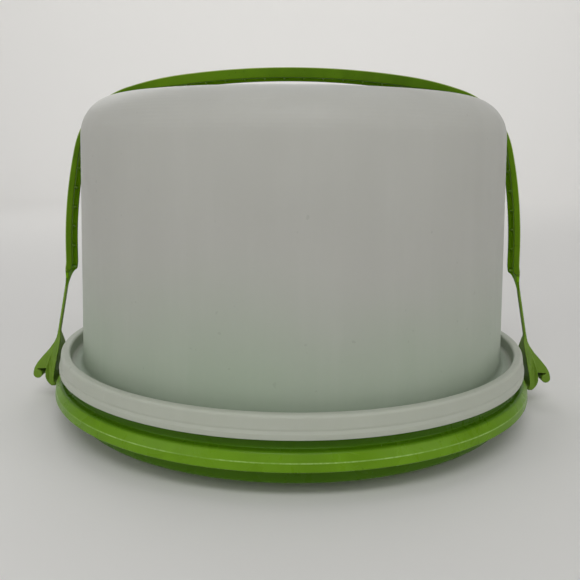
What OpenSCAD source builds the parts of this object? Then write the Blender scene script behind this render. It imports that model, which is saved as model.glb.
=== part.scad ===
// Round cake carrier: a shallow base tray, a tall press-on cover and a strap
// handle whose two ends clip under the tray's skirt.
// Millimetres, +Z up. Origin: centre of the foot ring on the ground.
// Heights called "level" are measured from the bottom edge of the cover's rim.

/* [Base tray] */
// Radius of the tray at the lower edge of its skirt
tray_r = 153.2; // [149:0.1:158]
// Wall thickness of the tray
tray_wall = 2.2; // [1.8:0.1:2.6]
// How far the skirt's edge lies below the cover's edge
skirt_drop = 15; // [13.5:0.1:16]
// How far the bowl's underside lies below the cover's edge
bowl_drop = 26.4; // [25:0.2:30]
// Height of the foot ring under the bowl
foot_h = 5.8; // [4:0.2:8]
// Middle radius of the foot ring
foot_r = 124; // [110:1:128]

/* [Cover] */
// Height of the cover above its bottom edge
cover_h = 165.3; // [160:0.1:170]
// Wall thickness of the cover
cover_wall = 1.8; // [1.5:0.1:2.2]
// Outer radius of the rounded edge round the cover's top
corner_r = 24; // [22:0.2:30]
// How much the cover's wall leans in, in mm per mm of height
draft = 0.033; // [0.025:0.001:0.038]

/* [Handle] */
// Width of the handle's grip
grip_w = 14; // [12:0.5:18]
// Thickness of the grip's outer web
web_t = 2.0; // [1.8:0.1:2.4]
// Depth of the grip's side flanges at the crown, web included
flange_d = 6.5; // [5:0.1:7]
// Depth of the side flanges on the upright arms, web included
arm_d = 4.2; // [3.8:0.1:4.7]
// Distance from one cross rib of the grip to the next
rib_pitch = 13; // [10:0.5:20]
// Width of the thin straps below the grip
strap_w = 3.4; // [3:0.1:5]
// Thickness of the thin straps
strap_t = 1.4; // [1.2:0.1:1.8]
// Height of the handle's outer top above the cover's top
handle_rise = 21.6; // [20:0.1:24]
// Angle by which the loose handle leans back
lean = 5; // [3:0.5:7]

/* [Clips] */
// How far a clip's ledge reaches under the tray's skirt
hook_in = 0.9; // [0.6:0.1:1.2]
// Free height between the skirt's edge and the ledge below it
hook_play = 4.0; // [4:0.1:5]
// Thickness of the ledge
ledge_t = 2.0; // [1.6:0.1:2.4]

/* [Hidden] */
$fn = 180;
edge_z = bowl_drop + foot_h;          // cover's bottom edge above the ground
lean_z = 10;                          // level of the axis the handle leans about
dx = tray_r - 153.2;                  // the clips keep their offsets from the tray
top_s = cover_h + handle_rise;        // crown of the handle in its own plane
pivot_s = 42;                         // level where the thin straps flex
side_x = tray_r - 3.6;                // outer face of the handle's upright arms
ledge_z = -skirt_drop - hook_play;    // top of the ledge

GREEN = [0.36, 0.60, 0.13];
MILKY = [0.84, 0.85, 0.82, 0.92];

function rev(v) = [for (i = [len(v) - 1 : -1 : 0]) v[i]];
function flipx(v) = [for (p = v) [-p[0], p[1]]];
// points of a circle arc about (cx, cz)
function ring(cx, cz, r, a0, a1, n) =
    [for (i = [0 : n]) let (a = a0 + (a1 - a0) * i / n) [cx + r * cos(a), cz + r * sin(a)]];

// ---------------------------------------------------------------- base tray
// one thin wall all over: floor, bowl, sealing lip, flange and skirt
module base_tray() {
    w = tray_wall;
    br = tray_r - 11.2;               // bowl, outside
    lip = tray_r - 6.6;               // sealing lip, outside
    ft = -5.4;                        // top of the flange
    fl = -bowl_drop + w;              // top of the floor
    sd = -skirt_drop;
    section = concat(
        [[0, fl]],
        ring(br - w - 7, fl + 7, 7, -90, 0, 8),
        ring(br - w + 1.8, ft - 1.8, 1.8, 180, 90, 4),
        [[lip - 1.9, ft], [lip - 1.7, 9.3], [lip - 1.3, 9.9], [lip - 0.6, 9.9], [lip - 0.2, 9.3], [lip, ft + 0.9]],
        ring(lip + 0.9, ft + 0.9, 0.9, 180, 270, 3),
        ring(tray_r - 4.6, ft - 2.2, 2.2, 90, 32, 5),
        [[tray_r - 0.75, -9.9], [tray_r - 0.45, -10.7], [tray_r - 0.2, -12.4], [tray_r, sd + 1.0]],
        ring(tray_r - 1.0, sd + 1.0, 1.0, 0, -90, 4),
        [[tray_r - w + 0.9, sd], [tray_r - w, sd + 0.8], [tray_r - w - 0.4, -12], [tray_r - w - 1.3, -10.2]],
        [[tray_r - w - 2.9, ft - w]],
        ring(br + 1.6, ft - w - 1.6, 1.6, 90, 180, 4),
        ring(br - 3, -bowl_drop + 3, 3, 0, -90, 5),
        [[foot_r + 2.6, -bowl_drop], [foot_r + 1.5, -bowl_drop - foot_h + 0.8], [foot_r + 1.1, -bowl_drop - foot_h]],
        [[foot_r - 1.1, -bowl_drop - foot_h], [foot_r - 1.5, -bowl_drop - foot_h + 0.8], [foot_r - 2.6, -bowl_drop]],
        [[0, -bowl_drop]]);
    color(GREEN) translate([0, 0, edge_z]) rotate_extrude() polygon(section);
}

// -------------------------------------------------------------------- cover
// tall bell with a gutter and a grooved rim that presses over the tray's lip
module cover() {
    t = cover_wall;
    r0 = tray_r - 17.6;               // wall, outside, at level 0
    cz = cover_h - corner_r;
    rt = r0 - draft * cz;             // wall where the corner starts
    rr = tray_r - 3.2;                // rim, outside
    section = concat(
        [[0, cover_h + 0.4], [rt - corner_r - 30, cover_h + 0.3]],
        ring(rt - corner_r, cz, corner_r, 88, 0, 12),
        ring(r0 - draft * 6 + 2.4, 6.0, 2.4, 180, 270, 4),
        ring(rr - 8.7, 5.2, 1.6, 270, 350, 3),
        ring(rr - 5.5, 10.4, 1.6, 170, 90, 4),
        ring(rr - 3.5, 10.1, 1.9, 90, 8, 5),
        [[rr - 0.9, 5.0], [rr - 1.3, 4.5], [rr - 1.3, 4.0], [rr - 0.25, 3.4], [rr, 2.8], [rr + 0.05, 0.6], [rr - 0.45, 0]],
        [[rr - 1.5, 0], [rr - 1.75, 3.0], [rr - 2.6, 4.6], [rr - 2.9, 9.5], [rr - 3.4, 10.4]],
        [[rr - 5.2, 10.4], [rr - 5.55, 9.7], [rr - 5.5, 3.2], [rr - 6.6, 2.0]],
        [[r0 + 0.4, 1.8], [r0 - 1.2, 2.8], [r0 - t - 0.1, 4.8]],
        ring(rt - corner_r, cz, corner_r - t, 0, 88, 12),
        [[rt - corner_r - 30, cover_h + 0.3 - t], [0, cover_h + 0.4 - t]]);
    color(MILKY) translate([0, 0, edge_z]) rotate_extrude() polygon(section);
}

// ------------------------------------------------------------------- handle
// Outer outline of the handle's right half in its own plane, from the crown
// down: [x, level, slope below horizontal]. Tangent arcs and straights.
function arc(p, r, a1, n) =
    [for (i = [1 : n]) let (a = p[2] + (a1 - p[2]) * i / n)
        [p[0] + r * (sin(a) - sin(p[2])), p[1] - r * (cos(p[2]) - cos(a)), a]];
function last(v) = v[len(v) - 1];
p0 = [0, top_s, 0];
crown = concat([p0], arc(p0, 520, 8, 5));
shoulder = arc(last(crown), 200, 17.7, 4);
// length of the straight before the corner, so that the arms stand at side_x
bend_r = 52;
run_l = (side_x - last(shoulder)[0] - bend_r * (sin(77) - sin(17.7)) - 293 * (1 - sin(77))) / cos(17.7);
bend_from = [last(shoulder)[0] + run_l * cos(17.7), last(shoulder)[1] - run_l * sin(17.7), 17.7];
bend = arc(bend_from, bend_r, 77, 12);
arm = arc(last(bend), 293, 90, 7);
// below flare_s the arms and the thin straps bow outward to the clips
flare_s = 61;
function flare(s) = let (u = max(flare_s - s, 0), m = 0.182)
    [side_x + m * u * u / (u + 2.5), s, 90 - atan(m * u * (u + 5) / pow(u + 2.5, 2))];
web_end = pivot_s + strap_t / 2 + 0.3;
foot = [for (s = [flare_s, 58.5, 56, 53.5, 51, 48.5, 46, web_end]) flare(s)];
half_path = concat(crown, shoulder, [bend_from], bend, arm, foot);

function inset(v, d) = [for (p = v) [p[0] - d * sin(p[2]), p[1] - d * cos(p[2])]];

module in_handle_plane() {
    translate([0, 0, edge_z + lean_z]) rotate([-lean, 0, 0]) translate([0, 0, -lean_z]) children();
}

// flat shape drawn in the handle's plane, w wide and centred on y
module slab(w, y = 0) {
    translate([0, y + w / 2, 0]) rotate([90, 0, 0]) linear_extrude(w) children();
}

// closed outline of the whole arch between its outer line and the line i
module arch(i) {
    o = inset(half_path, 0);
    polygon(concat(rev(flipx(o)), [for (k = [1 : len(o) - 1]) o[k]], rev(i), [for (k = [1 : len(i) - 1]) flipx(i)[k]]));
}

// inner line of the web below the flanges, thinning down to the strap
web_low = [for (q = [[52, web_t], [48.5, (web_t + strap_t) / 2], [45.5, strap_t], [web_end, strap_t]]) inset([flare(q[0])], q[1])[0]];

module web_shape() { arch(concat(inset([for (p = half_path) if (p[1] > 52.5) p], web_t), web_low)); }

// depth of the flanges by slope: deep at the crown, shallow round the cover's
// shoulder, a little deeper again on the arms
shoulder_d = 3.5;
function soft(t) = let (k = min(max(t, 0), 1)) k * k * (3 - 2 * k);
function depth(a) = flange_d + (shoulder_d - flange_d) * soft((a - 8) / 12) + (arm_d - shoulder_d) * soft((a - 74) / 10);

// the side flanges stop short and run out into the web in a hollow curve
module flange_shape() {
    upper = [for (p = half_path) if (p[1] > flare_s + 0.1) inset([p], depth(p[2]))[0]];
    // from the full depth (0) to 0.2 mm more than the web (1)
    runout = [for (q = [[0, 61], [0, 56.6], [0.15, 55.9], [0.52, 55.1], [0.85, 54.2], [1, 53.2]])
        inset([flare(q[1])], arm_d + (web_t + 0.2 - arm_d) * q[0])[0]];
    arch(concat(upper, runout, web_low));
}

// front view of the grip: full width down to the run-out, then a long neck
module grip_outline() {
    w = grip_w / 2;
    n = strap_w / 2;
    right = [[w, 300], [w, 56.6], [w - 0.4, 55.4], [w - 1.5, 53.8], [n + 2.2, 51.6], [n + 1.2, 49.8], [n + 0.4, 47.6], [n, 45.2], [n, 36]];
    polygon(concat(right, rev(flipx(right))));
}

function seg(k) = norm([half_path[k + 1][0] - half_path[k][0], half_path[k + 1][1] - half_path[k][1]]);
function run(k) = k == 0 ? 0 : run(k - 1) + seg(k - 1);
runs = [for (k = [0 : len(half_path) - 1]) run(k)];
grip_run = run(len(half_path) - len(foot)); // along the arch from the crown to flare_s
function at(d) = let (k = max([for (j = [0 : len(runs) - 2]) runs[j] <= d ? j : 0]), f = (d - runs[k]) / seg(k))
    half_path[k] + f * (half_path[k + 1] - half_path[k]);

module handle_grip() {
    fw = 1.8;
    color(GREEN) in_handle_plane() {
        intersection() {
            union() {
                slab(grip_w) web_shape();
                for (s = [-1, 1]) slab(fw, s * (grip_w - fw) / 2) flange_shape();
            }
            translate([-200, 0, 0]) rotate([90, 0, 90]) linear_extrude(400) grip_outline();
        }
        for (m = [0, 1]) mirror([m, 0, 0]) {
            for (d = [rib_pitch / 2 : rib_pitch : grip_run - 4]) let (q = at(d), e = depth(q[2]) - 0.9)
                translate([q[0], 0, q[1]]) rotate([0, q[2], 0])
                    translate([-0.7, -grip_w / 2 + 1, -e]) cube([1.4, grip_w - 2, e - 1]);
            // end wall that closes the channel
            let (q = flare(57.5), e = arm_d - 0.3) translate([q[0], 0, q[1]]) rotate([0, q[2], 0])
                translate([-0.8, -grip_w / 2 + 1, -e]) cube([1.6, grip_w - 2, e - 1]);
        }
    }
}

// one clip, drawn on the right (+X) side: thin strap, hooking leg with its
// ledge, flared pull lip with a beaded end, and two side webs
module clip_outline(o) {              // front-to-back outline, o narrower
    n = strap_w / 2;
    right = [[n, 16], [n + 0.2, 11.4], [n + 1.3, 9.5], [n + 3.9, 6.5], [8.6, 3], [11.4, -2], [13.2, -8.5], [13.9, -14], [13.4, -18.5], [12.6, -22]];
    polygon([for (q = concat(right, rev(flipx(right)))) [sign(q[0]) * max(abs(q[0]) - o, 0.05), q[1]]]);
}

module within_outline(o = 0) {
    intersection() {
        children();
        translate([130 + dx, 0, 0]) rotate([90, 0, 90]) linear_extrude(60) clip_outline(o);
    }
}

module clip() {
    zb = ledge_z - ledge_t;
    outer = [for (s = [pivot_s : -2.9 : 13]) flare(s)];
    c = inset([flare(pivot_s)], strap_t / 2)[0];
    in_handle_plane() {
        slab(strap_w) polygon(concat(inset(outer, 0), rev(inset(outer, strap_t))));
        translate([c[0], strap_w / 2, c[1]]) rotate([90, 0, 0]) cylinder(d = strap_t, h = strap_w);
    }
    translate([0, 0, edge_z]) {
        // hooking leg
        within_outline() slab(40) translate([dx, 0])
                polygon([[157.65, 14.4], [158.6, 8], [159.9, 2], [162.0, -5], [163.5, -11], [163.6, -15], [162.9, -17.4], [161.7, -19.4], [160.2, zb],
                         [157.8, zb], [157.8, ledge_z], [158.3, ledge_z + 0.7], [158.4, ledge_z + 3], [157.6, -11], [156.6, -5], [155.8, 3], [155.8, 9], [156.2, 14.4]]);
        // pull lip and its beaded end, a little narrower than the leg
        within_outline(0.8) slab(40) translate([dx, 0]) union() {
                polygon([[157.65, 14.4], [158.4, 10.4], [159.7, 6.8], [161.9, 3.3], [165.9, -1.3], [169.2, -5.4], [171.0, -8.6], [171.8, -12],
                         [169.6, -12], [168.6, -8.4], [166.6, -5.1], [163.6, -1.4], [160.6, 2.2], [157.8, 5.4], [156.6, 9]]);
                translate([168.9, -12.8]) circle(r = 2.9, $fn = 36);
        }
        // side webs, flush with the lip
        difference() {
            within_outline(0.8) slab(40) translate([dx, 0])
                polygon([[157.4, 10], [159.2, 7.0], [161.5, 3.3], [165.4, -1.3], [168.6, -5.4], [170.0, -8.4], [169.4, -9.4], [162.6, -9.0], [159.2, -4], [157.2, 4]]);
            within_outline(2.5) slab(40) translate([dx, 0])
                polygon([[158.4, 5.6], [160.8, 2.8], [164.0, -1.0], [167.2, -4.8], [171, -11], [169.0, -14], [162.0, -14], [159.6, -4]]);
        }
        // ledge that hooks under the skirt, curved like the tray
        rotate([0, 0, -4.2]) rotate_extrude(angle = 8.4)
            polygon([[tray_r - hook_in, ledge_z - 0.6], [tray_r - hook_in + 0.6, ledge_z], [159.6 + dx, ledge_z],
                     [159.6 + dx, zb], [tray_r - hook_in + 0.6, zb], [tray_r - hook_in, zb + 0.6]]);
    }
}

module right_clip() { color(GREEN) clip(); }
module left_clip() { color(GREEN) mirror([1, 0, 0]) clip(); }

base_tray();
cover();
handle_grip();
left_clip();
right_clip();
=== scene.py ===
import math

import bmesh
import bpy
from mathutils import Matrix, Vector


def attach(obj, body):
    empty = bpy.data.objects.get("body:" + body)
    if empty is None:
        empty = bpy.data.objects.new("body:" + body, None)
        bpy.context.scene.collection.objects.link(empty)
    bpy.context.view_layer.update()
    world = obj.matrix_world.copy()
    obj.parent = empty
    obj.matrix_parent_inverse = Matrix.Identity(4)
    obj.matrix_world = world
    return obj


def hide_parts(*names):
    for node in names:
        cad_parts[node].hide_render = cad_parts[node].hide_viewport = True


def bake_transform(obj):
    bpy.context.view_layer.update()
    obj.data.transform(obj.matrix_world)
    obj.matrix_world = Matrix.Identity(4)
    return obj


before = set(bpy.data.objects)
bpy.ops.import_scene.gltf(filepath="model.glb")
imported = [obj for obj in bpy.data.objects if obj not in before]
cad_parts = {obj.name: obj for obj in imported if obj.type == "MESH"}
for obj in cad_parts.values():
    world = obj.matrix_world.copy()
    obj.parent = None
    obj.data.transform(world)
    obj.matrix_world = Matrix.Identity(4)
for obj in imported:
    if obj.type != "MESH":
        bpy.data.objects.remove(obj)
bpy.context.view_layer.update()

MM = 0.001
EDGE = 32.2  # the cover's bottom edge above the ground, mm
TRAY_R = 153.2
LEAN = math.radians(5.0)
LEAN_Z = 10.0


# ------------------------------------------------------------------ mesh tools
def rounded(corners, step=9.0):
    """Polyline from (x, z, radius) corners, each rounded, with support points
    beside the arcs so that smooth shading stays tight."""
    out = []
    n = len(corners)
    for i, (x, z, r) in enumerate(corners):
        p = Vector((x, z))
        if r <= 0 or i in (0, n - 1):
            out.append(p)
            continue
        a, b = Vector(corners[i - 1][:2]), Vector(corners[i + 1][:2])
        u, v = (a - p), (b - p)
        lu, lv = u.length, v.length
        u.normalize()
        v.normalize()
        ang = math.acos(max(-1, min(1, u.dot(v))))  # inner angle
        turn = math.pi - ang
        if turn < 1e-3:
            out.append(p)
            continue
        t = r * math.tan(turn / 2)
        # leave room for the neighbour's own arc
        t = min(t, 0.49 * lu if i > 1 else 0.95 * lu, 0.49 * lv if i < n - 2 else 0.95 * lv)
        r = t / math.tan(turn / 2)
        bis = (u + v).normalized()
        c = p + bis * (r / math.sin(ang / 2))
        s, e = p + u * t, p + v * t
        a0 = math.atan2(s.y - c.y, s.x - c.x)
        a1 = math.atan2(e.y - c.y, e.x - c.x)
        d = (a1 - a0 + math.pi) % (2 * math.pi) - math.pi
        k = max(2, int(math.ceil(abs(math.degrees(d)) / step)))
        for j in range(k + 1):
            q = a0 + d * j / k
            out.append(Vector((c.x + r * math.cos(q), c.y + r * math.sin(q))))
    # support points on the long straights
    pts = [out[0]]
    for a, b in zip(out, out[1:]):
        length = (b - a).length
        if length > 1.6:
            m = min(0.35, length * 0.2)
            pts.append(a.lerp(b, m / length))
            pts.append(a.lerp(b, 1 - m / length))
        pts.append(b)
    clean = [pts[0]]
    for q in pts[1:]:
        if (q - clean[-1]).length > 1e-4:
            clean.append(q)
    return clean


def link(name, verts, faces, smooth=True):
    me = bpy.data.meshes.new(name)
    me.from_pydata([tuple(v) for v in verts], [], faces)
    bm = bmesh.new()
    bm.from_mesh(me)
    bmesh.ops.remove_doubles(bm, verts=bm.verts, dist=1e-7)
    bmesh.ops.recalc_face_normals(bm, faces=bm.faces)
    for f in bm.faces:
        f.smooth = smooth
    bm.to_mesh(me)
    bm.free()
    o = bpy.data.objects.new(name, me)
    bpy.context.scene.collection.objects.link(o)
    return o


def revolve(name, section, seg=256, wave=None):
    """Closed section from axis to axis, (r, level) in mm, turned about Z."""
    verts, rings = [], []
    for r, z in section:
        if r < 1e-6:
            rings.append([len(verts)])
            verts.append((0, 0, (z + EDGE) * MM))
        else:
            row = []
            for k in range(seg):
                a = 2 * math.pi * k / seg
                rr, zz = (r, z) if wave is None else wave(r, z, a)
                row.append(len(verts))
                verts.append((rr * math.cos(a) * MM, rr * math.sin(a) * MM, (zz + EDGE) * MM))
            rings.append(row)
    faces = []
    for p, q in zip(rings, rings[1:]):
        for k in range(seg):
            j = (k + 1) % seg
            if len(p) == 1 and len(q) == 1:
                continue
            if len(p) == 1:
                faces.append((p[0], q[k], q[j]))
            elif len(q) == 1:
                faces.append((p[k], q[0], p[j]))
            else:
                faces.append((p[k], q[k], q[j], p[j]))
    return link(name, verts, faces)


def leaned(x, y, s):
    """Point of the handle's own plane (x, y across, level s) in the row frame, metres."""
    z = s - LEAN_Z
    return Vector((x, y * math.cos(LEAN) + z * math.sin(LEAN), EDGE + LEAN_Z + z * math.cos(LEAN) - y * math.sin(LEAN))) * MM


def joined(name, objs):
    verts, faces = [], []
    for o in objs:
        b = len(verts)
        verts += [v.co.copy() for v in o.data.vertices]
        faces += [tuple(b + i for i in p.vertices) for p in o.data.polygons]
        me = o.data
        bpy.data.objects.remove(o)
        bpy.data.meshes.remove(me)
    return link(name, verts, faces)


def remeshed(o, voxel, smooth, factor=0.5):
    """Voxel remesh and smooth, applied: one skin with soft moulded edges."""
    m = o.modifiers.new("remesh", "REMESH")
    m.mode = "VOXEL"
    m.voxel_size = voxel * MM
    m.use_smooth_shade = True
    s = o.modifiers.new("smooth", "SMOOTH")
    s.factor = factor
    s.iterations = smooth
    dg = bpy.context.evaluated_depsgraph_get()
    me = bpy.data.meshes.new_from_object(o.evaluated_get(dg))
    old = o.data
    o.modifiers.clear()
    o.data = me
    bpy.data.meshes.remove(old)
    for p in o.data.polygons:
        p.use_smooth = True
    return o


# ------------------------------------------------------------------- materials
def material(name):
    m = bpy.data.materials.new(name)
    m.use_nodes = True
    nt = m.node_tree
    nt.nodes.clear()
    out = nt.nodes.new("ShaderNodeOutputMaterial")
    bsdf = nt.nodes.new("ShaderNodeBsdfPrincipled")
    nt.links.new(bsdf.outputs[0], out.inputs[0])
    return m, nt, bsdf


def rgb(r, g, b):
    """sRGB 0-255 to linear."""
    f = lambda c: c / 12.92 if c <= 0.04045 else ((c + 0.055) / 1.055) ** 2.4
    return (f(r / 255), f(g / 255), f(b / 255), 1.0)


class Net:
    def __init__(self, nt):
        self.nt = nt
        self.co = nt.nodes.new("ShaderNodeTexCoord").outputs["Object"]

    def put(self, sock, val):
        if isinstance(val, bpy.types.NodeSocket):
            self.nt.links.new(val, sock)
        else:
            sock.default_value = val

    def noise(self, scale, detail=3.0, rough=0.5, vector=None, distortion=0.0):
        n = self.nt.nodes.new("ShaderNodeTexNoise")
        n.inputs["Scale"].default_value = scale
        n.inputs["Detail"].default_value = detail
        n.inputs["Roughness"].default_value = rough
        n.inputs["Distortion"].default_value = distortion
        self.put(n.inputs["Vector"], vector or self.co)
        return n.outputs["Fac"]

    def stretched(self, sx, sy, sz, rot=(0, 0, 0)):
        n = self.nt.nodes.new("ShaderNodeMapping")
        n.inputs["Scale"].default_value = (sx, sy, sz)
        n.inputs["Rotation"].default_value = rot
        self.put(n.inputs["Vector"], self.co)
        return n.outputs[0]

    def ramp(self, fac, stops):
        n = self.nt.nodes.new("ShaderNodeValToRGB")
        e = n.color_ramp.elements
        while len(e) < len(stops):
            e.new(0.5)
        for k, (p, c) in zip(e, stops):
            k.position = p
            k.color = c if len(c) == 4 else (*c, 1)
        self.put(n.inputs[0], fac)
        return n.outputs[0]

    def grey(self, fac, p0, v0, p1, v1):
        """Maps fac from p0..p1 to v0..v1, smooth and clamped."""
        n = self.nt.nodes.new("ShaderNodeMapRange")
        n.interpolation_type = "SMOOTHSTEP"
        n.inputs["From Min"].default_value = p0
        n.inputs["From Max"].default_value = p1
        n.inputs["To Min"].default_value = v0
        n.inputs["To Max"].default_value = v1
        self.put(n.inputs["Value"], fac)
        return n.outputs[0]

    def mix(self, fac, a, b, blend="MIX"):
        n = self.nt.nodes.new("ShaderNodeMix")
        n.data_type = "RGBA"
        n.blend_type = blend
        self.put(n.inputs[0], fac)
        self.put(n.inputs[6], a)
        self.put(n.inputs[7], b)
        return n.outputs[2]

    def math(self, op, a, b=0.0):
        n = self.nt.nodes.new("ShaderNodeMath")
        n.operation = op
        self.put(n.inputs[0], a)
        self.put(n.inputs[1], b)
        return n.outputs[0]

    def split(self, vec):
        n = self.nt.nodes.new("ShaderNodeSeparateXYZ")
        self.put(n.inputs[0], vec)
        return n.outputs

    def radius(self):
        x, y, z = self.split(self.co)
        return self.math("SQRT", self.math("ADD", self.math("MULTIPLY", x, x), self.math("MULTIPLY", y, y)))

    def bump(self, height, strength, distance, normal=None):
        n = self.nt.nodes.new("ShaderNodeBump")
        n.inputs["Strength"].default_value = strength
        n.inputs["Distance"].default_value = distance
        self.put(n.inputs["Height"], height)
        if normal is not None:
            self.put(n.inputs["Normal"], normal)
        return n.outputs[0]

    def scratches(self, amount=0.62, scale=1.0):
        """Fine, sparse hairline marks in three directions, 0..1."""
        total = None
        for k, rot in enumerate(((0.2, 0.1, 0.35), (1.1, 0.5, -0.7), (0.4, 1.2, 1.3))):
            v = self.stretched(34 * scale, 900 * scale, 34 * scale, rot)
            line = self.grey(self.noise(1.0, 2.0, 0.4, v), 0.70 + 0.01 * k, 0.0, 0.76 + 0.01 * k, 1.0)
            where = self.grey(self.noise(22 + 9 * k, 2.0, 0.5), amount - 0.08, 0.0, amount + 0.06, 1.0)
            part = self.math("MULTIPLY", line, where)
            total = part if total is None else self.math("MAXIMUM", total, part)
        return total


def green_plastic(name, lit, deep, gloss=0.24, mark=0.5, shade=None, spec=0.3, coat=0.06, edge=None):
    """Glossy coloured moulding: cloudy colour, flow lines, hairlines, scuffs.
    The optional shade mask gives 0..1 where painted shade deepens the colour; the optional edge mask gives 0..1
    where a painted highlight lightens it."""
    m, nt, b = material(name)
    k = Net(nt)
    cloud = k.noise(14, 4.0, 0.55, distortion=0.6)
    flow = k.noise(1.0, 3.0, 0.6, k.stretched(60, 60, 9))
    fine = k.noise(900, 2.0, 0.6)
    base = k.mix(k.grey(cloud, 0.35, 0.0, 0.68, 1.0), lit, deep)
    base = k.mix(k.grey(flow, 0.45, 0.0, 0.75, 0.22), base, tuple(min(1.0, c * 1.35) for c in lit[:3]) + (1,))
    scr = k.scratches(0.60)
    base = k.mix(k.math("MULTIPLY", scr, 0.30 * mark), base, tuple(min(1.0, c * 1.6 + 0.06) for c in lit[:3]) + (1,))
    specks = k.grey(k.noise(420, 1.0, 0.4), 0.735, 0.0, 0.77, 0.35)
    base = k.mix(specks, base, tuple(c * 0.55 for c in deep[:3]) + (1,))
    # painted shade: the colour darkens where the shade mask says shade falls
    if shade is not None:
        base = k.mix(shade(k), base, tuple(c * f for c, f in zip(deep[:3], (0.36, 0.50, 0.20))) + (1,))
    # painted highlight: a pale green line standing for a glint of light
    if edge is not None:
        base = k.mix(edge(k), base, rgb(176, 208, 128))
    k.put(b.inputs["Base Color"], base)
    rough = k.grey(k.noise(30, 4.0, 0.6, distortion=1.0), 0.3, gloss, 0.75, gloss + 0.12)
    rough = k.math("ADD", rough, k.math("MULTIPLY", scr, 0.25))
    k.put(b.inputs["Roughness"], rough)
    n = k.bump(fine, 0.05, 0.00005)
    n = k.bump(k.noise(46, 2.0, 0.4), 0.10, 0.0008, n)
    n = k.bump(scr, 0.25 * mark, -0.00008, n)
    k.put(b.inputs["Normal"], n)
    b.inputs["IOR"].default_value = 1.5
    b.inputs["Specular IOR Level"].default_value = spec
    b.inputs["Subsurface Weight"].default_value = 0.10
    b.inputs["Subsurface Radius"].default_value = (0.5, 1.0, 0.15)
    b.inputs["Subsurface Scale"].default_value = 0.003
    b.inputs["Coat Weight"].default_value = coat
    b.inputs["Coat Roughness"].default_value = 0.10
    return m


def tray_painted_shade(k):
    """Painted shade: deeper colour in the groove under the cover's rim and below the skirt, where their shade falls.
    """
    z = k.math("MULTIPLY", k.split(k.co)[2], 1000.0)  # mm above the ground
    r = k.math("MULTIPLY", k.radius(), 1000.0)
    groove = k.math("MULTIPLY", k.grey(z, 25.4, 0.0, 26.9, 0.85), k.grey(z, 31.6, 1.0, 33.2, 0.0))
    groove = k.math("MULTIPLY", groove, k.grey(r, 145.2, 0.0, 146.2, 1.0))
    under = k.grey(z, 16.2, 0.75, 17.6, 0.0)
    under = k.math("MAXIMUM", under, k.math("MULTIPLY", k.grey(r, 143.0, 1.0, 144.5, 0.0), k.grey(z, 24.6, 0.75, 25.2, 0.0)))
    inside = k.grey(r, 140.4, 0.0, 141.2, 1.0)
    return k.math("MULTIPLY", k.math("MAXIMUM", groove, under), inside)


def tray_painted_highlight(k):
    """Painted highlight: a light line along the soft edge of the skirt, broken up by noise."""
    z = k.math("MULTIPLY", k.split(k.co)[2], 1000.0)
    r = k.math("MULTIPLY", k.radius(), 1000.0)
    line = k.math("MULTIPLY", k.grey(z, 21.55, 0.0, 21.95, 1.0), k.grey(z, 22.05, 1.0, 22.45, 0.0))
    line = k.math("MULTIPLY", line, k.grey(r, 151.4, 0.0, 151.8, 1.0))
    broken = k.grey(k.noise(26, 3.0, 0.6), 0.35, 0.15, 0.60, 0.62)
    fine = k.grey(k.noise(700, 1.0, 0.5), 0.35, 0.55, 0.60, 1.0)
    return k.math("MULTIPLY", k.math("MULTIPLY", line, broken), fine)


def milky_plastic(name):
    """Milky cover: cool grey white with painted light, greener towards the tray and at the rim
    from the green tray shining through; faint specks, vertical flow streaks, rubbed hairlines and a dull sheen."""
    m, nt, b = material(name)
    k = Net(nt)
    z = k.split(k.co)[2]
    r = k.radius()
    top = rgb(184, 184, 178)
    mid = rgb(178, 178, 172)
    # low and rim: painted light, the green of the tray shining through the cover
    low = rgb(161, 174, 155)
    rim = rgb(180, 183, 171)
    wob = k.math("MULTIPLY", k.math("SUBTRACT", k.noise(9, 3.0, 0.5), 0.5), 0.05)
    h = k.math("ADD", z, wob)
    base = k.mix(k.grey(h, 0.040, 1.0, 0.125, 0.0), mid, low)
    base = k.mix(k.grey(h, 0.12, 0.0, 0.20, 1.0), base, top)
    base = k.mix(k.grey(r, 0.1385, 0.0, 0.1425, 0.85), base, rim)
    streak = k.noise(1.0, 3.0, 0.6, k.stretched(70, 70, 6))
    base = k.mix(k.grey(streak, 0.42, 0.0, 0.75, 0.07), base, rgb(205, 206, 200))
    cloud = k.noise(11, 4.0, 0.6, distortion=0.4)
    base = k.mix(k.grey(cloud, 0.4, 0.0, 0.75, 0.10), base, rgb(160, 160, 154))
    specks = k.grey(k.noise(210, 1.0, 0.4), 0.765, 0.0, 0.79, 0.16)
    base = k.mix(specks, base, rgb(110, 112, 102))
    scr = k.scratches(0.66)
    base = k.mix(k.math("MULTIPLY", scr, 0.12), base, rgb(214, 215, 210))
    k.put(b.inputs["Base Color"], base)
    rough = k.grey(k.noise(24, 4.0, 0.6, distortion=0.8), 0.3, 0.36, 0.75, 0.50)
    rough = k.math("ADD", rough, k.math("MULTIPLY", scr, 0.15))
    k.put(b.inputs["Roughness"], rough)
    n = k.bump(k.noise(1400, 2.0, 0.6), 0.06, 0.00004)
    n = k.bump(k.noise(30, 2.0, 0.4), 0.08, 0.0008, n)
    n = k.bump(scr, 0.12, -0.00005, n)
    k.put(b.inputs["Normal"], n)
    b.inputs["IOR"].default_value = 1.5
    b.inputs["Specular IOR Level"].default_value = 0.16
    b.inputs["Subsurface Weight"].default_value = 0.35
    b.inputs["Subsurface Radius"].default_value = (1.0, 1.0, 0.9)
    b.inputs["Subsurface Scale"].default_value = 0.006
    return m


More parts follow.
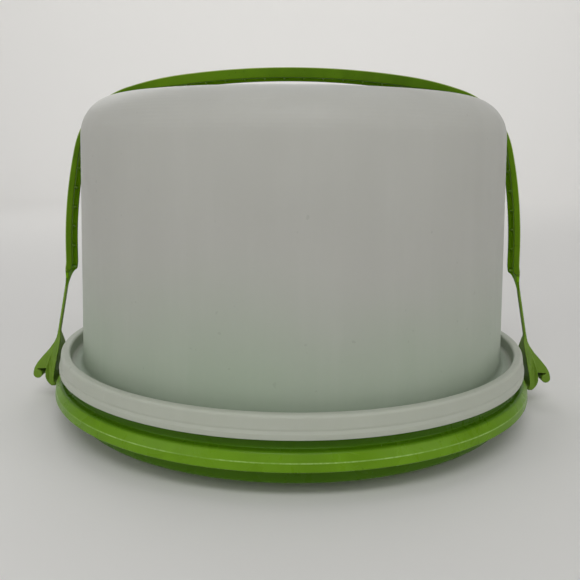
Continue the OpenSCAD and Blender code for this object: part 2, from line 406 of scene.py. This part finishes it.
# ------------------------------------------------------------------- base tray
tray_section = rounded([
    (0, -24.2, 0), (3.0, -24.2, 0.6), (3.4, -24.55, 0.3), (4.6, -24.55, 0.3), (5.0, -24.2, 0.6),
    (139.8, -24.2, 7.0), (139.8, -5.4, 1.8), (144.7, -5.4, 0.6), (144.95, 9.9, 0.6), (146.35, 9.9, 0.6),
    (146.6, -5.4, 0.9), (149.9, -5.4, 2.2), (152.62, -10.2, 0.8),
    (153.18, -14.95, 1.0), (151.1, -14.95, 0.7), (150.6, -12.0, 0.8), (149.7, -10.2, 1.0), (148.1, -7.6, 1.2), (142.0, -7.6, 1.6), (142.0, -26.4, 3.0), (126.6, -26.4, 1.2),
    (125.2, -32.2, 0.8), (122.8, -32.2, 0.8), (121.4, -26.4, 1.2), (0, -26.4, 0)])
tray = revolve("tray_moulding", tray_section, 288)
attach(tray, "tray")
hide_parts("base_tray")

# ----------------------------------------------------------------------- cover
cover_section = rounded([
    (0, 165.7, 0), (60, 165.65, 60), (130.13, 165.3, 24), (135.42, 3.6, 2.4), (142.75, 3.6, 1.6), (143.0, 12.0, 1.6),
    (148.3, 12.0, 1.8), (149.25, 5.4, 1.5), (149.15, 4.4, 1.0), (149.95, 2.9, 1.2), (150.0, 0, 0.5),
    (148.5, 0, 0.4), (148.2, 3.2, 0.5), (147.3, 4.7, 0.5), (147.1, 10.4, 0.6), (144.6, 10.4, 0.6), (144.5, 2.2, 0.9),
    (135.4, 1.9, 1.2), (133.72, 4.6, 1.2), (128.4, 163.5, 22.2), (60, 163.85, 60), (0, 163.9, 0)], step=5.0)
cover = revolve("cover_moulding", cover_section, 288)
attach(cover, "lid")
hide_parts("cover")


# ---------------------------------------------------------------------- handle
def turtle(p, r, a1, n):
    """Tangent arc: p is (x, level, slope in degrees below horizontal)."""
    out = []
    for i in range(1, n + 1):
        a = p[2] + (a1 - p[2]) * i / n
        a_, b_ = math.radians(a), math.radians(p[2])
        out.append((p[0] + r * (math.sin(a_) - math.sin(b_)), p[1] - r * (math.cos(b_) - math.cos(a_)), a))
    return out


SIDE_X = TRAY_R - 3.6
FLARE_S, FLARE_M = 61.0, 0.182


def flare(s):
    """Outer face of the arms and straps below FLARE_S: a soft outward bow."""
    u = max(FLARE_S - s, 0.0)
    slope = FLARE_M * u * (u + 5) / (u + 2.5) ** 2
    return (SIDE_X + FLARE_M * u * u / (u + 2.5), s, 90 - math.degrees(math.atan(slope)))


crown = [(0, 186.9, 0)] + turtle((0, 186.9, 0), 520, 8, 16)
crown += turtle(crown[-1], 200, 17.7, 8)
sd = lambda d: math.sin(math.radians(d))
cd = lambda d: math.cos(math.radians(d))
run_l = (SIDE_X - crown[-1][0] - 52 * (sd(77) - sd(17.7)) - 293 * (1 - sd(77))) / cd(17.7)
q = crown[-1]
straight = [(q[0] + run_l * f * cd(17.7), q[1] - run_l * f * sd(17.7), 17.7) for f in (0.33, 0.66, 1.0)]
bend = turtle(straight[-1], 52, 77, 24)
arm = turtle(bend[-1], 293, 90, 18)
down = [(SIDE_X, s, 90.0) for s in (69, 65)] + [flare(62 - 0.4 * k) for k in range(0, 46)]
half = crown + straight + bend + arm + down


def curve(table, s):
    """Smooth monotone value from (level, value) pairs, highest level first."""
    if s >= table[0][0]:
        return table[0][1]
    for i, ((s0, v0), (s1, v1)) in enumerate(zip(table, table[1:])):
        if s >= s1:
            h = s0 - s1
            t = (s0 - s) / h
            m = (v1 - v0) / h
            a = m if i == 0 else (v1 - table[i - 1][1]) / (table[i - 1][0] - s1)
            b = m if i + 2 >= len(table) else (table[i + 2][1] - v0) / (s0 - table[i + 2][0])
            a = 0.0 if a * m <= 0 else math.copysign(min(abs(a), 3 * abs(m)), m)
            b = 0.0 if b * m <= 0 else math.copysign(min(abs(b), 3 * abs(m)), m)
            return ((2 * t ** 3 - 3 * t * t + 1) * v0 + (t ** 3 - 2 * t * t + t) * h * a
                    + (3 * t * t - 2 * t ** 3) * v1 + (t ** 3 - t * t) * h * b)
    return table[-1][1]


def smoothstep(t):
    t = max(0.0, min(1.0, t))
    return t * t * (3 - 2 * t)


def depth(a):
    """Flange depth by slope: deep at the crown, shallow round the cover's
    shoulder, a little deeper again on the arms."""
    return 6.5 - 3.0 * smoothstep((a - 8) / 12) + 0.7 * smoothstep((a - 74) / 10)


WIDE = [(57.2, 7.0), (56.3, 6.9), (55.2, 6.35), (53.7, 5.4), (51.6, 3.95), (49.8, 2.95), (47.6, 2.15), (45.2, 1.75), (43, 1.7)]
DEEP = [(56.8, 4.2), (56.0, 3.95), (55.1, 3.15), (54.1, 2.5), (53.0, 2.2), (52, 2.0), (48.5, 1.7), (45.5, 1.42), (43, 1.4)]
THICK = [(53, 2.0), (52, 1.98), (48.5, 1.69), (45.5, 1.41), (43, 1.39)]


def grip_size(s, a):
    """Half width, flange depth and web thickness at a level."""
    return curve(WIDE, s), (depth(a) if s > 62 else curve(DEEP, s)), curve(THICK, s)


def channel(w, f, t=2.0, fw=1.8, ro=0.8, rb=0.6, ri=0.7):
    """Section of the grip: (y, depth below the outer face), closed."""
    deep = max(0.0, f - t)
    fw = min(fw, w * 0.7)
    rb_in = min(rb, deep * 0.45)
    ri = min(ri, deep * 0.45)
    ro = min(ro, w * 0.4, f * 0.45)
    rb = min(rb, f * 0.45, fw * 0.45)
    right = []
    crown_n = 5
    for j in range(1, crown_n + 1):
        right.append(((w - ro) * j / crown_n, 0.0))
    for j in range(1, 7):
        a = math.pi / 2 * j / 6
        right.append((w - ro + ro * math.sin(a), ro - ro * math.cos(a)))
    right.append((w, f - rb))
    for j in range(1, 6):
        a = math.pi / 2 * j / 5
        right.append((w - rb + rb * math.cos(a), f - rb + rb * math.sin(a)))
    for j in range(0, 5):
        a = math.pi / 2 * j / 4
        right.append((w - fw + rb_in - rb_in * math.sin(a), f - rb_in + rb_in * math.cos(a)))
    for j in range(0, 5):
        a = math.pi / 2 * j / 4
        right.append((w - fw - ri + ri * math.cos(a), t + ri - ri * math.sin(a)))
    inner = w - fw - ri
    for j in range(1, 4):
        right.append((inner * (1 - j / 3), t))
    left = [(-y, d) for y, d in reversed(right[:-1])]
    return [(0.0, 0.0)] + right + left


def place(p, y, d):
    a = math.radians(p[2])
    return leaned(p[0] - d * math.sin(a), y, p[1] - d * math.cos(a))


path = [(-x, s, -a) for x, s, a in reversed(half[1:])] + half
verts, faces, n_loop = [], [], 0
for p in path:
    w, f, t = grip_size(p[1], abs(p[2]))
    loop = channel(w, f, t)
    n_loop = len(loop)
    verts += [place(p, y, d) for y, d in loop]
for i in range(len(path) - 1):
    for j in range(n_loop):
        k = (j + 1) % n_loop
        faces.append((i * n_loop + j, i * n_loop + k, (i + 1) * n_loop + k, (i + 1) * n_loop + j))
faces.append(tuple(range(n_loop)))
faces.append(tuple(reversed(range((len(path) - 1) * n_loop, len(path) * n_loop))))
grip = link("grip_skin", verts, faces)

# cross ribs between the flanges
lengths = [0.0]
for a, b in zip(half, half[1:]):
    lengths.append(lengths[-1] + math.hypot(b[0] - a[0], b[1] - a[1]))
grip_end = lengths[[i for i, p in enumerate(half) if p[1] >= 61][-1]] - 4


def at(d):
    for i in range(len(half) - 1):
        if lengths[i + 1] >= d:
            f = (d - lengths[i]) / (lengths[i + 1] - lengths[i])
            return tuple(u + f * (v - u) for u, v in zip(half[i], half[i + 1]))
    return half[-1]


ribs = [grip]
places = []
d = 6.5
while d < grip_end:
    places.append((at(d), depth(at(d)[2]) - 0.9, 0.7))
    d += 13
places.append((flare(57.5), 3.9, 0.8))  # end wall that closes the channel
for q, low, t in places:
    for m in (1, -1):
        p = (m * q[0], q[1], m * q[2])
        a = math.radians(p[2])
        sec = rounded([(0, 1.4, 0), (-t - 0.35, 1.4, 0), (-t, 2.6, 0.9), (-t * 0.8, low, 0.4), (t * 0.8, low, 0.4), (t, 2.6, 0.9), (t + 0.35, 1.4, 0), (0, 1.4, 0)])[:-1]
        vs, fs = [], []
        ys = (-5.7, 5.7)
        for y in ys:
            for u, dd in sec:
                x = p[0] + u * math.cos(a) - dd * math.sin(a)
                s = p[1] - u * math.sin(a) - dd * math.cos(a)
                vs.append(leaned(x, y, s))
        n = len(sec)
        for j in range(n):
            fs.append((j, (j + 1) % n, n + (j + 1) % n, n + j))
        fs.append(tuple(range(n)))
        fs.append(tuple(reversed(range(n, 2 * n))))
        ribs.append(link("rib", vs, fs))
handle = joined("handle_moulding", ribs)
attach(handle, "handle")
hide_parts("handle_grip")



def in_channel(c, n):
    """True for a face (centre, normal) of the handle inside its channel, which takes the brighter painted-light
    green.
    """
    y = c.y * math.cos(LEAN) - (c.z - (EDGE + LEAN_Z) * MM) * math.sin(LEAN)
    across = n.y * math.cos(LEAN) - n.z * math.sin(LEAN)
    if abs(y) > 5.35 * MM:
        return False
    if abs(across) > 0.7:
        return abs(y) > 3 * MM
    out = Vector((c.x * 0.9, c.z - 0.125))
    out.normalize()
    return n.x * out.x + n.z * out.y < 0.1


def on_highlight_edge(c, n):
    """True for a face on the soft edges of the handle's outer face, which take the painted highlight."""
    y = c.y * math.cos(LEAN) - (c.z - (EDGE + LEAN_Z) * MM) * math.sin(LEAN)
    across = n.y * math.cos(LEAN) - n.z * math.sin(LEAN)
    out = Vector((c.x * 0.9, c.z - 0.125))
    out.normalize()
    return abs(y) > 6.1 * MM and 0.2 < abs(across) < 0.93 and n.x * out.x + n.z * out.y > 0.25


# ----------------------------------------------------------------------- clips
FAN = [(16, 1.7), (11.4, 1.9), (9.5, 3.0), (6.5, 5.6), (3, 8.6), (-2, 11.4), (-8.5, 13.2), (-14, 13.9), (-18.5, 13.4), (-22, 12.6)]


def fan(z):
    """Half width of the clip at a level."""
    if z >= FAN[0][0]:
        return FAN[0][1]
    for (z0, w0), (z1, w1) in zip(FAN, FAN[1:]):
        if z >= z1:
            return w0 + (w1 - w0) * (z0 - z) / (z0 - z1)
    return FAN[-1][1]


def prism(pts, lo, hi, sub=1.2):
    """Closed prism of an (x, level) outline; lo(z), hi(z) give its y limits."""
    fine = []
    for (x0, z0), (x1, z1) in zip(pts, pts[1:] + pts[:1]):
        n = max(1, int(math.hypot(x1 - x0, z1 - z0) / sub))
        for j in range(n):
            fine.append((x0 + (x1 - x0) * j / n, z0 + (z1 - z0) * j / n))
    n = len(fine)
    vs = [Vector((x, f(z), z + EDGE)) * MM for f in (lo, hi) for x, z in fine]
    fs = [(j, (j + 1) % n, n + (j + 1) % n, n + j) for j in range(n)]
    fs.append(tuple(range(n)))
    fs.append(tuple(reversed(range(n, 2 * n))))
    return link("prism", vs, fs, False)


LEG = [(157.65, 14.4), (158.6, 8), (159.9, 2), (162.0, -5), (163.5, -11), (163.6, -15), (162.9, -17.4), (161.7, -19.4), (160.2, -21),
       (157.8, -21), (157.8, -19), (158.3, -18.3), (158.4, -16), (157.6, -11), (156.6, -5), (155.8, 3), (155.8, 9), (156.2, 14.4)]
LIP = [(157.65, 14.4), (158.4, 10.4), (159.7, 6.8), (161.9, 3.3), (165.9, -1.3), (169.2, -5.4), (171.0, -8.6), (171.8, -12),
       (169.6, -12), (168.6, -8.4), (166.6, -5.1), (163.6, -1.4), (160.6, 2.2), (157.8, 5.4), (156.6, 9)]
WEB = [(157.4, 10), (159.2, 7.0), (161.5, 3.3), (165.4, -1.3), (168.6, -5.4), (170.0, -8.4), (169.4, -9.4), (162.6, -9.0), (159.2, -4), (157.2, 4)]


def make_clip(side):
    web_out = lambda z: max(0.2, fan(z) - 0.8)
    web_in = lambda z: max(0.1, fan(z) - 2.5)
    bead = [(168.9 + 2.9 * math.cos(math.radians(a)), -12.8 + 2.9 * math.sin(math.radians(a))) for a in range(0, 360, 15)]
    parts = [prism(LEG, lambda z: -fan(z), fan)]
    parts += [prism(p, lambda z: -web_out(z), web_out) for p in (LIP, bead)]
    parts.append(prism(WEB, web_in, web_out))
    parts.append(prism(WEB, lambda z: -web_out(z), lambda z: -web_in(z)))
    # ledge, curved like the tray
    vs, fs = [], []
    sec = [(TRAY_R - 0.9, -19.6), (TRAY_R - 0.3, -19), (159.6, -19), (159.6, -21), (TRAY_R - 0.3, -21), (TRAY_R - 0.9, -20.4)]
    steps = 12
    for i in range(steps + 1):
        a = math.radians(-4.2 + 8.4 * i / steps)
        vs += [Vector((r * math.cos(a), r * math.sin(a), z + EDGE)) * MM for r, z in sec]
    n = len(sec)
    for i in range(steps):
        for j in range(n):
            k = (j + 1) % n
            fs.append((i * n + j, i * n + k, (i + 1) * n + k, (i + 1) * n + j))
    fs.append(tuple(range(n)))
    fs.append(tuple(reversed(range(steps * n, (steps + 1) * n))))
    parts.append(link("ledge", vs, fs, False))
    # thin strap, in the handle's leaning plane
    vs, fs = [], []
    levels = [48.8 - 0.6 * i for i in range(61)]
    for s in levels:
        p = flare(s)
        w = 1.72 - 0.3 * smoothstep((s - 43.4) / 2)
        t0 = 0.15 * smoothstep((s - 43.4) / 2)
        for y, dd in ((-w, t0), (w, t0), (w, 1.42 - t0), (-w, 1.42 - t0)):
            a = math.radians(p[2])
            vs.append(leaned(p[0] - dd * math.sin(a), y, p[1] - dd * math.cos(a)))
    for i in range(len(levels) - 1):
        for j in range(4):
            k = (j + 1) % 4
            fs.append((i * 4 + j, i * 4 + k, (i + 1) * 4 + k, (i + 1) * 4 + j))
    fs.append((0, 1, 2, 3))
    b = (len(levels) - 1) * 4
    fs.append((b + 3, b + 2, b + 1, b))
    parts.append(link("strap", vs, fs, False))
    clip = joined(("right" if side > 0 else "left") + "_clip_moulding", parts)
    remeshed(clip, 0.30, 3)
    if side < 0:
        clip.data.transform(Matrix.Scale(-1, 4, (1, 0, 0)))
        clip.data.flip_normals()
    return clip


clips = []
for side, body in ((-1, "left_hook"), (1, "right_hook")):
    c = make_clip(side)
    top, low = flare(47), flare(28)
    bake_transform(c)
    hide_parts("left_clip" if side < 0 else "right_clip")
    clips.append(c)

# ------------------------------------------------------------- material set up
# the tray's green carries painted shade in the groove and under the skirt, and a painted highlight line on the skirt
tray_mat = green_plastic("green_tray", rgb(104, 146, 26), rgb(94, 134, 18), 0.24, 0.5, tray_painted_shade, 0.10, 0.04, tray_painted_highlight)
# painted highlight: pale green on the grip's soft outer edges, standing for light caught by the rounded edges
edge_highlight_mat = green_plastic("green_strap_edge_highlight", rgb(150, 168, 88), rgb(126, 148, 62), 0.34, 0.4, None, 0.12, 0.02)
# painted shade: the strap's green is a darker copy of the tray's, standing for the weaker light on the handle
strap_shaded_mat = green_plastic("green_strap", rgb(88, 124, 10), rgb(66, 99, 2), 0.34, 0.4, None, 0.08, 0.01)
# painted light: a brighter green inside the channel, standing for light shining through the thin plastic
channel_lit_mat = green_plastic("green_strap_inside_lit", rgb(122, 172, 8), rgb(104, 154, 4), 0.40, 0.4, None, 0.08, 0.0)
# painted light: the clips' green is lighter and hazier than the strap's, standing for light shining through the thin
# webs
clip_lit_mat = green_plastic("green_clip_lit", rgb(112, 144, 46), rgb(98, 130, 34), 0.34, 0.4, None, 0.18, 0.03)
milky = milky_plastic("milky_cover")
tray.data.materials.append(tray_mat)
handle.data.materials.append(strap_shaded_mat)
handle.data.materials.append(channel_lit_mat)
handle.data.materials.append(edge_highlight_mat)
# faces inside the channel get the painted-light green, faces on the soft outer edges the painted highlight
for f in handle.data.polygons:
    if in_channel(f.center, f.normal):
        f.material_index = 1
    elif on_highlight_edge(f.center, f.normal):
        f.material_index = 2
for o in clips:
    o.data.materials.clear()
    o.data.materials.append(clip_lit_mat)
cover.data.materials.append(milky)
for n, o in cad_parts.items():
    o.data.materials.clear()
    o.data.materials.append(milky if n == "cover" else strap_shaded_mat)

# ---------------------------------------------------------------- floor, light
# round pale backdrop: a flat floor that curves up into a low wall all round
sweep = [(0.0, 0.0), (0.6, 0.0), (1.2, 0.0), (2.2, 0.0)]
sweep += [(2.2 + 0.9 * math.sin(math.radians(a)), 0.9 - 0.9 * math.cos(math.radians(a))) for a in range(6, 91, 6)]
sweep += [(3.1, 1.4), (3.1, 2.2)]
verts, faces, n = [], [], 96
for r, z in sweep[1:]:
    verts += [(r * math.cos(2 * math.pi * k / n), r * math.sin(2 * math.pi * k / n), z) for k in range(n)]
verts.append((0, 0, 0))
for i in range(len(sweep) - 2):
    for k in range(n):
        j = (k + 1) % n
        faces.append((i * n + k, i * n + j, (i + 1) * n + j, (i + 1) * n + k))
faces += [(len(verts) - 1, (k + 1) % n, k) for k in range(n)]
me = bpy.data.meshes.new("floor")
me.from_pydata(verts, [], faces)
for p in me.polygons:
    p.use_smooth = True
floor = bpy.data.objects.new("floor", me)
bpy.context.scene.collection.objects.link(floor)
fm, fnt, fb = material("pale_floor")
fb.inputs["Base Color"].default_value = (0.78, 0.77, 0.75, 1)
fb.inputs["Roughness"].default_value = 0.8
fb.inputs["Specular IOR Level"].default_value = 0.2
floor.data.materials.append(fm)

world = bpy.data.worlds.new("studio")
bpy.context.scene.world = world
world.use_nodes = True
world.node_tree.nodes["Background"].inputs[0].default_value = (0.86, 0.87, 0.88, 1)
world.node_tree.nodes["Background"].inputs[1].default_value = 0.30


def area(name, loc, target, size, size_y, power, color=(1, 1, 1)):
    l = bpy.data.lights.new(name, "AREA")
    l.shape = "RECTANGLE"
    l.size, l.size_y = size, size_y
    l.energy = power
    l.color = color
    o = bpy.data.objects.new(name, l)
    bpy.context.scene.collection.objects.link(o)
    o.location = loc
    o.rotation_euler = (Vector(target) - Vector(loc)).to_track_quat("-Z", "Y").to_euler()
    return o


area("key", (0.0, -1.15, 1.30), (0, 0, 0.08), 1.1, 0.26, 8.2)
area("low_strip", (0.0, -1.40, 0.50), (0, 0, 0.03), 1.5, 0.08, 0.9)
area("top", (0.0, 0.1, 1.7), (0, 0, 0.1), 1.2, 1.0, 1.0)
area("top_strip", (0.0, 0.75, 1.5), (0, 0, 0.2), 1.3, 0.06, 1.6)
area("left", (-1.4, -0.9, 0.7), (0, 0, 0.1), 1.0, 1.1, 4.9)
area("right", (1.4, -0.9, 0.7), (0, 0, 0.1), 1.0, 1.1, 4.3)
area("back", (-0.5, 1.3, 1.0), (0, 0, 0.1), 1.2, 0.8, 2.4)
area("wash", (0.0, 1.7, 2.0), (0, 3.1, 0.8), 3.0, 0.8, 26)

# ---------------------------------------------------------------------- camera
D, H, XC = 458.567, 132.192, 0.867
PITCH, ROLL, YAW = 0.192, 0.008, 0.005
fh = Vector((-math.sin(YAW), math.cos(YAW), 0))
right = Vector((math.cos(YAW), math.sin(YAW), 0))
fwd = fh * math.cos(PITCH) - Vector((0, 0, 1)) * math.sin(PITCH)
up = fh * math.sin(PITCH) + Vector((0, 0, 1)) * math.cos(PITCH)
r2 = right * math.cos(ROLL) + up * math.sin(ROLL)
u2 = up * math.cos(ROLL) - right * math.sin(ROLL)
cam_data = bpy.data.cameras.new("camera")
cam = bpy.data.objects.new("camera", cam_data)
bpy.context.scene.collection.objects.link(cam)
m = Matrix((r2, u2, -fwd)).transposed().to_4x4()
m.translation = Vector((XC, -D, EDGE + H)) * MM
cam.matrix_world = m
cam_data.sensor_width = 36.0
cam_data.lens = 700.0 / 580.0 * 36.0
cam_data.clip_start, cam_data.clip_end = 0.01, 50
bpy.context.scene.camera = cam
bpy.context.scene.view_settings.view_transform = "Standard"
